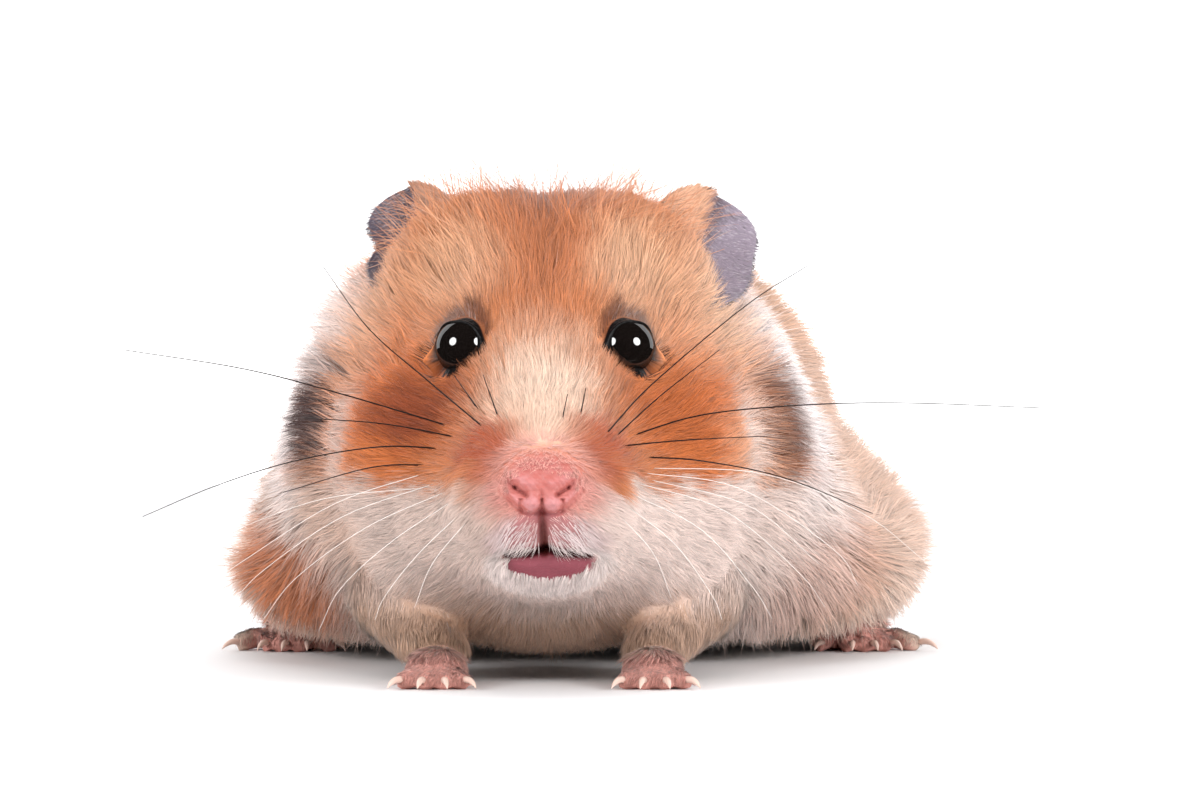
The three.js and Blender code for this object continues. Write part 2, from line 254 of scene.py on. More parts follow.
def settle(field, p, rounds, most=1.5, level=0.0):
    """Points moved along the slope of a field until they lie on its surface."""
    for _ in range(rounds):
        here = field(p)
        p = p - slope_of(field, p, here) * np.clip(here - level, -most, most)[:, None]
    return p


def read_points(mesh):
    flat = np.empty(len(mesh.vertices) * 3)
    mesh.vertices.foreach_get("co", flat)
    return flat.reshape(-1, 3) * 1000 - HEAD_AT


def write_points(mesh, p):
    mesh.vertices.foreach_set("co", ((p + HEAD_AT) / 1000).ravel())
    mesh.update()


def smoothed(mesh, p, rounds, keep=None):
    """Points moved halfway to the middle of their neighbours, a few times over."""
    edges = np.empty(len(mesh.edges) * 2, dtype=np.int64)
    mesh.edges.foreach_get("vertices", edges)
    a, b = edges.reshape(-1, 2).T
    count = np.bincount(a, minlength=len(p)) + np.bincount(b, minlength=len(p))
    for _ in range(rounds):
        total = np.stack([
            np.bincount(a, weights=p[b, k], minlength=len(p))
            + np.bincount(b, weights=p[a, k], minlength=len(p))
            for k in range(3)
        ], axis=1)
        moved = 0.5 * p + 0.5 * total / count[:, None]
        p = moved if keep is None else np.where(keep[:, None], p, moved)
    return p


LIMB_PARTS = [
    f"{part}_{side}"
    for part in ("foreleg", "thigh", "forepaw", "hindfoot")
    for side in ("left", "right")
]
FLESH = ["head", "muzzle", "nose", "lower_jaw", "neck", "trunk", "tail"] + LIMB_PARTS
SWELL = 0.00022  # metres that each piece grows, which closes the gaps between them
GRAIN = 0.00062  # and the size of the cells that join them

shell = bmesh.new()
for name in FLESH + ["eye_left", "eye_right"]:
    piece = bmesh.new()
    piece.from_mesh(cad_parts[name].data)
    bmesh.ops.remove_doubles(piece, verts=piece.verts, dist=1e-7)
    piece.normal_update()
    for v in piece.verts:
        v.co += v.normal * SWELL
    copied = bpy.data.meshes.new("copied")
    piece.to_mesh(copied)
    piece.free()
    shell.from_mesh(copied)
    bpy.data.meshes.remove(copied)
skin_mesh = bpy.data.meshes.new("skin")
shell.to_mesh(skin_mesh)
shell.free()
skin = bpy.data.objects.new("skin", skin_mesh)
bpy.context.scene.collection.objects.link(skin)

remesh = skin.modifiers.new("remesh", "REMESH")
remesh.mode = "VOXEL"
remesh.voxel_size = GRAIN
done = bpy.data.meshes.new_from_object(skin.evaluated_get(bpy.context.evaluated_depsgraph_get()))
skin.modifiers.clear()
skin.data = done
bpy.data.meshes.remove(skin_mesh)
done.name = "skin"

p = read_points(skin.data)
p = settle(skin_gap, p, 5)
for _ in range(2):
    p = smoothed(skin.data, p, 3)
    p = settle(skin_gap, p, 2)
write_points(skin.data, p)

# The face is cut finer, and the nose, lips and eyelids finer still.
NOSE_AT = np.array([0, -19.0, 20.4])


def fine_parts(p):
    return (p[:, 1] < 4) & (p[:, 2] > 9)


def finer_parts(p):
    nose = np.linalg.norm((p - (0, -17.5, 16.5)) / (6.2, 6, 8.4), axis=1) < 1
    return nose | (from_eye(p) < EYE_RADIUS + 1.6)


def finest_parts(p):
    nose = np.linalg.norm((p - (0, -18.5, 18.2)) / (4.4, 4.5, 5.4), axis=1) < 1
    return nose | ((lid_place(mirrored(p))[0] < 1.35) & (from_eye(p) < EYE_RADIUS + 0.9))


# The opening of the eyelids faces outward and forward.
LOOK_OUT = math.radians(40)
OPEN_WIDE, OPEN_UP, OPEN_DOWN = math.radians(66), math.radians(52), math.radians(46)
LID_SQUARE = 2.6  # how squarish the opening is
LID_TILT, LID_CORNER = 0.08, 0.3  # slant of the opening, and extra room at its inner corner
LID_ROLL, LID_SUNK = 0.12, 0.45  # height of the rim, and depth of the skin under the ball


def lid_place(q):
    """Place round the left eye: 1 at the edge of its squarish opening, distance, and turn."""
    off = q - EYE
    far = np.linalg.norm(off, axis=1)
    ahead = np.array([math.sin(LOOK_OUT), -math.cos(LOOK_OUT), 0])
    across = np.array([math.cos(LOOK_OUT), math.sin(LOOK_OUT), 0])
    wide = np.arctan2(off @ across, off @ ahead)
    high = np.arcsin(np.clip(off[:, 2] / np.maximum(far, 1e-6), -1, 1)) + LID_TILT * wide
    a = wide / OPEN_WIDE
    down = OPEN_DOWN * (1 + LID_CORNER * np.clip(-a, 0, 1))
    b = high / np.where(high > 0, OPEN_UP, down)
    edge = (np.abs(a) ** LID_SQUARE + np.abs(b) ** LID_SQUARE) ** (1 / LID_SQUARE)
    return edge, far, np.arctan2(b, a)


for chosen in (fine_parts, finer_parts, finest_parts):
    bm = bmesh.new()
    bm.from_mesh(skin.data)
    picked = chosen(read_points(skin.data))
    bm.verts.ensure_lookup_table()
    edges = [e for e in bm.edges if picked[e.verts[0].index] and picked[e.verts[1].index]]
    bmesh.ops.subdivide_edges(bm, edges=edges, cuts=1, use_grid_fill=True)
    bm.to_mesh(skin.data)
    bm.free()
    p = read_points(skin.data)
    inside = chosen(p)
    p = np.where(inside[:, None], smoothed(skin.data, p, 3), p)
    p[inside] = settle(skin_gap, p[inside], 2, 0.25)
    write_points(skin.data, p)


def bump(x, z, at, radii):
    return np.exp(-(((x - at[0]) / radii[0]) ** 2 + ((z - at[1]) / radii[1]) ** 2))


def line(x, z, start, end, width):
    """A soft ridge round a straight line on the face, 1 along the line."""
    ax, az = end[0] - start[0], end[1] - start[1]
    share = np.clip(((x - start[0]) * ax + (z - start[1]) * az) / (ax * ax + az * az), 0, 1)
    off = np.hypot(x - start[0] - share * ax, z - start[1] - share * az)
    return np.exp(-((off / width) ** 2)), share


def mouth_height(x):
    """Height of the parting of the lips: an upturned V in the middle, then level to the corners."""
    off = np.abs(x - 0.3)
    return 14.0 + 0.5 * np.exp(-((off / 0.9) ** 2)) - 0.01 * off * off


def face_relief(p):
    """How far the nose and lips stand out toward the front, in mm. Grooves are negative."""
    x, z = p[:, 0] + 0.08, p[:, 2]
    off = np.abs(x)
    # Wings of the nose, and the round lobes under them with a crease round each.
    out = 0.45 * line(off, z, (1.0, 20.9), (3.0, 21.8), 0.6)[0]
    from_lobe = np.hypot(off - 0.98, z - 18.95)
    crease = np.exp(-(((from_lobe - 1.12) / 0.2) ** 2)) * (z < 19.4)
    out += 1.0 * np.exp(-((from_lobe / 0.74) ** 2)) - 0.4 * crease
    out += 0.45 * line(off, z, (2.2, 19.0), (3.45, 20.1), 0.4)[0]
    # Nostrils, the groove between them, and the fold beside the nose.
    slit, share = line(off, z, (1.5, 19.75), (2.6, 20.45), 0.2)
    out -= (0.7 - 0.3 * share) * slit
    slit, share = line(off, z, (2.6, 20.45), (3.25, 21.15), 0.17)
    out -= (0.4 - 0.25 * share) * slit
    out -= 0.22 * line(x, z, (0, 18.0), (0, 19.9), 0.2)[0]
    out -= 0.35 * line(off, z, (2.0, 18.1), (4.0, 20.2), 0.3)[0]
    # Pads of the upper lip and the split between them, then the mouth and the lower lip.
    out += 0.6 * bump(off, z, (2.3, 15.8), (1.7, 1.7))
    deep, share = line(x, z, (0, 17.9), (0.25, 14.2), 0.46)
    out -= (0.6 + 0.4 * share) * deep
    parting = z - mouth_height(p[:, 0])
    wide = 1 - ramp(np.abs(p[:, 0] - 0.5), 3.8, 5.0)
    out -= 1.3 * wide * np.exp(-((parting / 0.34) ** 2))
    out += 0.35 * wide * np.exp(-(((parting + 1.3) / 0.75) ** 2))
    return out + 0.07 * ripple(p, 1.0) * (off < 3.8) * (z > 17.8)


wave_dice = np.random.default_rng(7)
WAVES = wave_dice.normal(size=(9, 3)) * 1.6
WAVE_STARTS = wave_dice.uniform(0, 6.283, size=(9, 3))


def ripple(p, size, kind=0):
    """Soft noise from about -1 to 1, with patches of the given size in mm."""
    return np.sin(p @ WAVES.T / size * 3 + WAVE_STARTS[:, kind]).sum(axis=1) / 3.2


p = read_points(skin.data)
front = (p[:, 1] < -9) & (p[:, 2] > 9) & (p[:, 2] < 25) & (np.abs(p[:, 0]) < 7)
facing = -slope_of(skin_gap, p[front])[:, 1]
p[front, 1] -= face_relief(p[front]) * ramp(facing, 0.0, 0.45)

# Eyelids: the skin dips under the ball inside the opening, and its edge is a thin roll.
side = np.where(p[:, 0] < 0, -1.0, 1.0)
folded = mirrored(p)
edge, far, _ = lid_place(folded)
near = far < EYE_RADIUS + 2.0
inside = 1 - ramp(edge, 0.98, 1.05)
new_far = far + LID_ROLL * np.exp(-(((edge - 1.08) / 0.06) ** 2))
new_far = new_far * (1 - inside) + (EYE_RADIUS - LID_SUNK) * inside
moved = EYE + (folded - EYE) * (new_far / far)[:, None]
moved[:, 0] *= side
p = np.where(near[:, None], moved, p)
write_points(skin.data, p)

# Ears: thin cups with a squarish rim, rooted in the head.
whole = bmesh.new()
whole.from_mesh(skin.data)
for side, (at, half, deep, lean, notch) in EARS.items():
    cup = bmesh.new()
    bmesh.ops.create_uvsphere(cup, u_segments=96, v_segments=40, radius=1)
    ball = np.array([v.co for v in cup.verts])
    out = np.hypot(ball[:, 0], ball[:, 1])
    turn = np.arctan2(ball[:, 1], ball[:, 0])
    square = np.abs(np.cos(turn)) ** EAR_SQUARE + np.abs(np.sin(turn)) ** EAR_SQUARE
    square = square ** (-1 / EAR_SQUARE)
    dent = 1 - notch * out * np.exp((np.cos(turn - NOTCH_TURN) - 1) / NOTCH_WIDTH)
    low = np.maximum(0, -np.sin(turn))
    wide = half[0] * (1 - EAR_FOOT * low * low)
    thick = EAR_HALF_THICK * np.sign(ball[:, 2]) * np.sqrt(np.abs(ball[:, 2]))
    place = np.stack([
        side * wide * square * dent * np.cos(turn) * out,
        deep * (1 - out * out) - thick + 0.25 * np.sin(3 * turn) * out ** 3,
        half[1] * square * dent * np.sin(turn) * out,
    ], axis=1)
    place = place @ np.array(ear_turn(lean)).T + np.array(at)
    for v, co in zip(cup.verts, (place + HEAD_AT) / 1000):
        v.co = co
    if cup.calc_volume(signed=True) < 0:
        bmesh.ops.reverse_faces(cup, faces=cup.faces)
    ear_mesh = bpy.data.meshes.new("ear")
    cup.to_mesh(ear_mesh)
    cup.free()
    whole.from_mesh(ear_mesh)
    bpy.data.meshes.remove(ear_mesh)
for face in whole.faces:
    face.smooth = True
whole.to_mesh(skin.data)
whole.free()
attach(skin, "root")
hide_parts(*FLESH, "ear_left", "ear_right")

# Markings and painted light. The hide and the hair on it share one set of colours: ginger head, deep orange
# cheeks and shoulders, white lower face, dark cheek flashes edged with white, and a tan body. Painted shade
# lies under the chin, in the creases of the nose and lips and on the inner side of the ears, and the raised
# parts of the nose are a lighter pink that is partly a painted highlight.
GINGER, DEEP, PALE = (207, 128, 80), (208, 108, 46), (236, 184, 148)
TAN, BACK, CREAM = (220, 184, 164), (210, 164, 136), (244, 212, 190)
# The brownish grey under the chin is painted shade.
UNDER_CHIN_SHADE, FLASH = (178, 138, 110), (58, 26, 22)
WHITE, DULL_WHITE = (236, 212, 202), (216, 190, 178)
BLACK, PINK, MAUVE, DARK_RED = (10, 7, 8), (186, 112, 106), (142, 74, 84), (60, 20, 16)
PAW_PINK = (212, 150, 138)
EAR_GREYS = {1: (146, 134, 148), -1: (88, 80, 92)}
EAR_FURS = {1: (222, 176, 148), -1: (170, 134, 116)}

# Each patch: middle, radii, width of its soft edge, strength on the left and right, colour.
HEAD_PATCHES = [
    ((0, 6, 43), (8, 12, 12), 0.6, 0.75, 0.75, (196, 116, 74)),
    ((9, 6, 41), (5, 9, 6), 0.6, 0.9, 0.65, PALE),
    ((14, 2, 36), (4, 6, 5), 0.6, 0.7, 0.0, (240, 186, 148)),
    ((0, -8, 27.6), (5.6, 12, 6.8), 0.7, 0.95, 0.95, CREAM),
    ((13, -1, 26.5), (8.5, 11, 6.0), 0.6, 0.85, 0.9, DEEP),
    ((13, -3, 28), (6, 9, 3.8), 0.6, 0.3, 0.9, (138, 60, 28)),
    ((5.0, -13.5, 23.6), (3.2, 5, 2.4), 0.7, 0.9, 0.95, (170, 66, 18)),
    ((15, 5, 34), (6, 8, 6), 0.6, 0.4, 0.4, DEEP),
    ((19, 13, 39), (6, 8, 7), 0.7, 0.9, 0.5, (240, 194, 162)),
    ((21, 8, 24), (5, 9, 5), 0.6, 0.6, 0.0, (232, 180, 148)),
]
SIDE_PATCHES = [
    ((22, 9.5, 26), (3.0, 4.5, 7.5), 0.6, 0.85, 0.7, WHITE),
    ((25, 26, 37), (8, 12, 7), 0.5, 0.85, 0.85, (240, 218, 210)),
    ((27.0, 29, 31), (9, 9, 12), 0.4, 0.95, 0.95, (246, 234, 232)),
    ((26.0, 16.5, 27.0), (4.6, 6.4, 7.4), 0.4, 0.75, 1.0, FLASH),
    ((31, 35, 9.5), (10, 14, 6.5), 0.4, 0.35, 0.95, (186, 104, 56)),
    ((25, 14, 15), (9, 9, 6), 0.6, 0.1, 0.6, (214, 166, 138)),
    ((0, 15, 48.5), (4.5, 7, 5), 0.8, 0.75, 0.75, (134, 90, 76)),
    ((0, 6, 42), (1.3, 9, 8), 0.9, 0.35, 0.35, (150, 90, 60)),
]


def to_linear(colour):
    c = np.array(colour) / 255
    return np.where(c <= 0.04045, c / 12.92, ((c + 0.055) / 1.055) ** 2.4)


def grey_of_ear(p, side):
    """1 on the outer part of an ear, whose grey skin shows through a few short hairs."""
    local, out = ear_place(p, side)
    outer = ramp(local[:, 0] + 0.15 * local[:, 2] + 0.2 * ripple(p, 2), 0.1 * side - 1.1, 0.5 * side - 0.3)
    return outer * (1 - ramp(out, 1.15, 1.3)) * (1 - ramp(ear_gap(p), 0.25, 0.6)) * (p[:, 0] * side > 0)


def eye_rim(edge, far, turn):
    """1 on the black bare edge of the eyelids, which is widest at the corner toward the nose."""
    nasal = np.exp((np.cos(turn - 2.2) - 1) / 0.12)
    outer = np.exp((np.cos(turn + 0.35) - 1) / 0.3)
    under = np.exp((np.cos(turn + 1.9) - 1) / 0.25)
    reach = edge - 0.34 * nasal + 0.09 * outer - 0.07 * under
    return (1 - ramp(reach, 1.09, 1.15)) * (far < EYE_RADIUS + 1.2)


def lip_pads(p):
    """1 on the two pads of the upper lip, where white hairs stand apart on pink skin."""
    return 1 - ramp(np.linalg.norm((p - (0.2, -17, 15.9)) / (5.2, 6, 2.9), axis=1), 0.7, 1.15)


def markings_and_painted_light(p):
    """Colour of the hide and hair at each point, painted shade and highlight included, as linear red, green
    and blue.
    """
    warp = np.stack([ripple(p, 5, 0), ripple(p, 5, 1), ripple(p, 5, 2)], axis=1)
    q = mirrored(p) + 0.7 * warp
    y, z = q[:, 1], q[:, 2]

    def lay(colour, share, over):
        return colour + (to_linear(over) - colour) * np.clip(share, 0, 1)[:, None]

    def lay_all(colour, patches):
        for middle, radii, edge, on_left, on_right, over in patches:
            far = np.linalg.norm((q - middle) / radii, axis=1)
            strength = on_right + (on_left - on_right) * side
            colour = lay(colour, strength * (1 - ramp(far, 1 - edge, 1 + edge)), over)
        return colour

    colour = np.tile(to_linear(GINGER), (len(p), 1))
    side = ramp(p[:, 0], -4, 4)
    behind = ramp(y, 27, 42)
    colour = lay(colour, behind, BACK)
    colour = lay(colour, behind * (1 - ramp(z, 24, 42)) * 0.9, TAN)
    colour = lay(colour, behind * (1 - ramp(z, 3, 14)) * 0.6, (234, 210, 194))
    colour = lay_all(colour, HEAD_PATCHES)
    low = (1 - ramp(z, 19.6, 21.6)) * (1 - ramp(y, 34, 44))
    colour = lay(colour, low, DULL_WHITE)
    colour = lay(colour, low * side, WHITE)
    # Painted shade under the chin and head: the low front of the chest and the forelegs are darkened to a
    # brownish grey.
    colour = lay(colour, 0.85 * (1 - ramp(z, 6, 12)) * (1 - ramp(y, 22, 34)) * ramp(y, -12, -2), UNDER_CHIN_SHADE)
    colour = lay_all(colour, SIDE_PATCHES)
    # Bare skin: nose, lips, rims of the eyes, ears, paws and tail.
    front = (p[:, 1] < -10) & (p[:, 2] > 11) & (p[:, 2] < 24) & (np.abs(p[:, 0]) < 6)
    nose = np.linalg.norm((p - (0, -18.6, 20.6)) / (4.3, 6.0, 3.3), axis=1)
    colour = lay(colour, 0.75 * (1 - ramp(nose, 0.9, 1.7)), (204, 122, 106))
    colour = lay(colour, 1 - ramp(nose, 0.7, 1.2), PINK)
    colour = lay(colour, 0.85 * lip_pads(p), (162, 100, 104))
    relief = face_relief(p) * front
    # The raised lobes and wings of the nose are a lighter pink, partly their own colour and partly a painted
    # highlight.
    colour = lay(colour, np.clip(relief - 0.15, 0, 0.5) * (p[:, 2] > 17.7) * 1.3, (208, 146, 148))
    colour = lay(colour, 0.3 * np.clip(ripple(p, 0.8, 1) - 0.1, 0, 1) * (nose < 1), (176, 78, 66))
    lip = np.linalg.norm((p - (0.6, -15.5, 12.8)) / (4.8, 5, 1.75), axis=1)
    colour = lay(colour, 1 - ramp(lip, 0.8, 1.25), MAUVE)
    # Painted shade under the upper lip: the lower lip darkens toward the parting.
    colour = lay(colour, 0.7 * (1 - ramp(lip, 0.8, 1.25)) * ramp(p[:, 2], 12.8, 14.0), (92, 32, 40))
    # The split of the upper lip is dark reddish brown, partly the bare skin's colour and partly painted
    # shade, darker toward the bottom where the groove is deeper.
    split, share = line(p[:, 0], p[:, 2], (-0.08, 17.8), (0.2, 14.2), 0.5)
    colour = lay(colour, (0.6 + 0.4 * share) * split * front, (104, 44, 36))
    # Painted shade: the nostril slits, the groove between them, the folds beside the nose and the creases
    # round the lobes are dark red.
    colour = lay(colour, 0.8 * np.clip(-relief - 0.1, 0, 1) * (p[:, 2] > 17.6), (132, 50, 46))
    # Painted shade: the parting of the lips is a dark red line.
    parting = np.exp(-(((p[:, 2] - mouth_height(p[:, 0])) / 0.4) ** 2)) * (np.abs(p[:, 0] - 0.5) < 4.4)
    colour = lay(colour, 0.85 * parting * front, DARK_RED)
    edge, far, turn = lid_place(mirrored(p))
    colour = lay(colour, 0.75 * (1 - ramp(far - 0.7 * np.cos(turn - 2.2), 2.9, 3.9)), (80, 34, 18))
    colour = lay(colour, eye_rim(edge, far, turn), BLACK)
    for one, grey in EAR_GREYS.items():
        furred = (1 - ramp(ear_gap(p), 0.3, 1.4)) * (p[:, 0] * one > 0) * ramp(z, 38, 43)
        colour = lay(colour, 0.85 * furred, EAR_FURS[one])
        colour = lay(colour, grey_of_ear(p, one), grey)
        local, _ = ear_place(p, one)
        shade = grey_of_ear(p, one) * (1 - ramp(local[:, 0], -0.6, 1.8)) * ramp(local[:, 2], -6, 4)
        colour = lay(colour, 0.7 * shade, (66, 46, 52))
    for x, yy, long in ((11, -6, 9), (32, 62, 17)):
        paw = np.linalg.norm((q - (x, yy, 0.8)) / (7, long, 3.8), axis=1)
        colour = lay(colour, 1 - ramp(paw, 0.75, 1.1), PAW_PINK)
    tail = np.linalg.norm((q - (0, 120, 10)) / (5, 8, 5), axis=1)
    colour = lay(colour, 1 - ramp(tail, 0.8, 1.2), (226, 178, 160))
    return colour


def add_colour(mesh, name, colour):
    rgba = np.concatenate([colour, np.ones((len(colour), 1))], axis=1).astype(np.float32)
    layer = mesh.attributes.new(name, "FLOAT_COLOR", "POINT")
    layer.data.foreach_set("color", rgba.ravel())


add_colour(skin.data, "markings_and_painted_light", markings_and_painted_light(read_points(skin.data)))


def new_stuff(name, sockets):
    """A material whose shader has the given constants."""
    stuff = bpy.data.materials.new(name)
    stuff.use_nodes = True
    shader = stuff.node_tree.nodes["Principled BSDF"]
    for socket, value in sockets.items():
        shader.inputs[socket].default_value = value
    return stuff


def marked_stuff(name, sockets):
    """A material that takes its colour from the markings and the painted light."""
    stuff = new_stuff(name, sockets)
    tree = stuff.node_tree
    read = tree.nodes.new("ShaderNodeAttribute")
    read.attribute_name = "markings_and_painted_light"
    tree.links.new(read.outputs["Color"], tree.nodes["Principled BSDF"].inputs["Base Color"])
    return stuff


skin_stuff = marked_stuff("skin", {"Roughness": 0.4, "Specular IOR Level": 0.25})
tree = skin_stuff.node_tree
place = tree.nodes.new("ShaderNodeTexCoord")
pores = tree.nodes.new("ShaderNodeTexNoise")
pores.inputs["Scale"].default_value = 2600
pores.inputs["Detail"].default_value = 3
tree.links.new(place.outputs["Object"], pores.inputs["Vector"])
grain = tree.nodes.new("ShaderNodeBump")
grain.inputs["Strength"].default_value = 0.6
grain.inputs["Distance"].default_value = 0.0002
tree.links.new(pores.outputs["Fac"], grain.inputs["Height"])
tree.links.new(grain.outputs["Normal"], tree.nodes["Principled BSDF"].inputs["Normal"])
skin.data.materials.clear()
skin.data.materials.append(skin_stuff)

# ---------------------------------------------------------------------------
# Eyes. Each is a dark, wet, glossy ball.
# ---------------------------------------------------------------------------


def new_object(name, bm, stuff):
    """A smooth object of one mesh and one material. The bmesh it came from is freed."""
    for face in bm.faces:
        face.smooth = True
    mesh = bpy.data.meshes.new(name)
    bm.to_mesh(mesh)
    bm.free()
    mesh.materials.append(stuff)
    made = bpy.data.objects.new(name, mesh)
    bpy.context.scene.collection.objects.link(made)
    return made


eye_stuff = new_stuff("eye_black", {
    "Base Color": (0.006, 0.0045, 0.004, 1),
    "Roughness": 0.04,
    "Specular IOR Level": 0.0,
    "Coat Weight": 0.42,
    "Coat Roughness": 0.02,
    "Coat IOR": 3.0,
})
for side, sign in (("left", 1), ("right", -1)):
    bm = bmesh.new()
    bmesh.ops.create_icosphere(bm, subdivisions=5, radius=EYE_RADIUS / 1000)
    bmesh.ops.translate(bm, verts=bm.verts, vec=Vector((EYE * (sign, 1, 1) + HEAD_AT) / 1000))
    ball = new_object(f"eyeball_{side}", bm, eye_stuff)
    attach(ball, "root")
    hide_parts(f"eye_{side}")

# ---------------------------------------------------------------------------
# Coat. Soft dense fur lies back from the nose over the whole body, short and
# fine on the face and long on the neck, flanks and rump. Each lock is a thin,
# straight, closed spike of mesh, rooted in the skin and leaning with the lie of the coat.
# ---------------------------------------------------------------------------
dice = np.random.default_rng(1234)
skin.data.calc_loop_triangles()
corners = np.empty(len(skin.data.loop_triangles) * 3, dtype=np.int32)
skin.data.loop_triangles.foreach_get("vertices", corners)
corners = corners.reshape(-1, 3)
skin_at = read_points(skin.data)
skin_up = np.empty(len(skin_at) * 3)
skin.data.vertices.foreach_get("normal", skin_up)
skin_up = skin_up.reshape(-1, 3)


def unit(v):
    return v / np.maximum(np.linalg.norm(v, axis=1, keepdims=True), 1e-9)


def reach_back(p):
    """Distance from the nose, which sets the length and thickness of the hair."""
    return np.linalg.norm(mirrored(p) - NOSE_AT, axis=1)


def bald(p):
    """1 where no hair grows: the nose, the lips, the eyes, and the soles and toes."""
    nose = np.linalg.norm((p - (0, -18.6, 20.1)) / (3.6, 4.5, 2.3), axis=1) < 1
    lip = np.linalg.norm((p - (0.6, -15.5, 13.0)) / (4.1, 5, 1.15), axis=1) < 1
    front = (np.abs(p[:, 0] - 0.4) < 4.0) & (p[:, 1] < -9)
    parting = front & (np.abs(p[:, 2] - mouth_height(p[:, 0])) < 0.3)
    split = (np.abs(p[:, 0] - 0.05) < 0.42) & (p[:, 1] < -12) & (p[:, 2] > 13) & (p[:, 2] < 18.4)
    eye = eye_rim(*lid_place(mirrored(p))) > 0.85
    sole = (p[:, 2] < 0.8) & (limb_gap(p) < 0.4)
    return nose | lip | parting | split | eye | sole


def on_ear(p):
    return ear_gap(p) < 0.35


def on_grey(p):
    return np.maximum(grey_of_ear(p, 1), grey_of_ear(p, -1)) > 0.5


def on_limb(p):
    return (limb_gap(p) < coat_gap(p) + hair_depth(p) - 0.1) & ~on_ear(p)


def ruff(p):
    """1 in the loose ruff behind the animal's right ear."""
    near = np.exp(-((np.linalg.norm((p - (-21, 27, 40)) / (7, 10, 8), axis=1)) ** 2))
    return near * ramp(p[:, 1], 14, 20) * ~on_ear(p)


def nose_top(p):
    """1 on the nose and the pink skin round it, where the hairs are sparse and very short."""
    return 1 - ramp(np.linalg.norm((p - (0, -18.6, 21.2)) / (4.2, 6.5, 4.2), axis=1), 0.7, 1.3)


def lock_length(p):
    back = reach_back(p)
    long = np.interp(back, [0, 3, 6, 10, 16, 26, 38, 55, 80], [0.9, 1.2, 1.7, 2.5, 3.6, 5.2, 6.6, 8.4, 9.6])
    long = long * (1 - 0.25 * ramp(p[:, 2], 40, 48) * (1 - ramp(p[:, 1], 30, 50)))
    long = long * (0.42 + 0.58 * ramp(from_eye(p), 3.2, 7.5))
    long = np.where(on_ear(p), 1.6, long)
    long = long * (1 + 0.6 * ruff(p)) * (1 - 0.3 * nose_top(p))
    long = np.where(on_grey(p), 0.9, long)
    limb_long = np.where(p[:, 2] < 3.2, 0.8, 2.2)
    return np.where(on_limb(p), limb_long, long)


def lock_width(p):
    wide = np.interp(reach_back(p), [0, 8, 16, 25, 40, 60], [0.09, 0.1, 0.11, 0.125, 0.165, 0.23])
    wide = wide * (0.7 + 0.3 * ramp(from_eye(p), 3.4, 8))
    wide = np.where(on_grey(p), 0.12, wide)
    return np.where(on_limb(p), 0.16, wide)


def lie(p, up):
    """Direction in which the hair lies, along the skin."""
    q = mirrored(p)
    side = np.sign(p[:, 0] - side_shift(p[:, 1]))
    side = np.where(side == 0, 1, side)
    away = unit(q - (0, -15.5, 20.5))
    back = np.stack([0.0 * q[:, 0], np.ones(len(q)), -0.35 * ramp(q[:, 0], 12, 26)], axis=1)
    share = ramp(q[:, 1], 4, 30)[:, None]
    course = away * (1 - share) + back * share
    off = q - EYE
    far = np.linalg.norm(off, axis=1)
    # The hair parts round the eye instead of crossing it.
    near = np.exp(-np.maximum(far - EYE_RADIUS - 0.4, 0) / 2.2)
    toward = np.minimum(np.einsum("ij,ij->i", course, unit(off)), 0)
    course = course + unit(off) * (near * (0.2 - 1.25 * toward))[:, None]
    leg = on_limb(p) & (q[:, 1] < 100)
    course = np.where(leg[:, None], np.array([0, -0.7, -0.7]), course)
    for one in EARS:
        turn = np.array(ear_turn(EARS[one][3]))
        across = turn @ (one * 0.3, 0, 0.9) * (one, 1, 1)
        level = turn @ (one, 0, -0.1) * (one, 1, 1)
        here = on_ear(p) & (side == one)
        course = np.where(here[:, None], across, course)
        course = np.where((here & on_grey(p))[:, None], level, course)
    course[:, 0] *= side
    course = course - up * np.einsum("ij,ij->i", course, up)[:, None]
    return unit(course)


def swayed(course, up, angle):
    side = np.cross(course, up)
    return course * np.cos(angle)[:, None] + side * np.sin(angle)[:, None]


COVER = 7.2  # how many times over the locks cover the skin
MOST_LOCKS, EAR_LOCKS = 62, 22  # locks to a square millimetre: at most, and on the grey of the ears
flat_at = skin_at[corners]
cross = np.cross(flat_at[:, 1] - flat_at[:, 0], flat_at[:, 2] - flat_at[:, 0])
face_area = np.linalg.norm(cross, axis=1) / 2
face_at = flat_at.mean(axis=1)
crowd = 2 * COVER / (lock_width(face_at) * lock_length(face_at))
crowd = np.minimum(crowd, MOST_LOCKS) * (1 - 0.84 * lip_pads(face_at)) * (1 - 0.5 * nose_top(face_at))
crowd = np.where(on_grey(face_at), EAR_LOCKS, crowd)
crowd = np.where(bald(face_at), 0, crowd)
weight = crowd * face_area
count = int(weight.sum())
chosen = np.searchsorted(np.cumsum(weight) / weight.sum(), (np.arange(count) + dice.random(count)) / count)
chosen = np.minimum(chosen, len(corners) - 1)
a, b = dice.random((2, count))
flip = a + b > 1
a, b = np.where(flip, 1 - a, a), np.where(flip, 1 - b, b)
share = np.stack([1 - a - b, a, b], axis=1)
roots = np.einsum("ij,ijk->ik", share, flat_at[chosen])
ups = unit(np.einsum("ij,ijk->ik", share, skin_up[corners[chosen]]))
kept = ~bald(roots)
roots, ups = roots[kept], ups[kept]
count = len(roots)

long = lock_length(roots) * dice.uniform(0.7, 1.2, count) * (1 + 0.15 * ripple(roots, 6, 1))
wide = lock_width(roots) * dice.uniform(0.75, 1.25, count)
course = lie(roots, ups)
bend = 0.22 * ripple(roots, 3.5, 0) + 0.16 * ripple(roots, 9, 2) + dice.normal(0, 0.11, count)
course = swayed(course, ups, bend)
depth = hair_depth(roots)
rise = np.clip(dice.normal(0.76, 0.2, count), 0.25, 1.1)

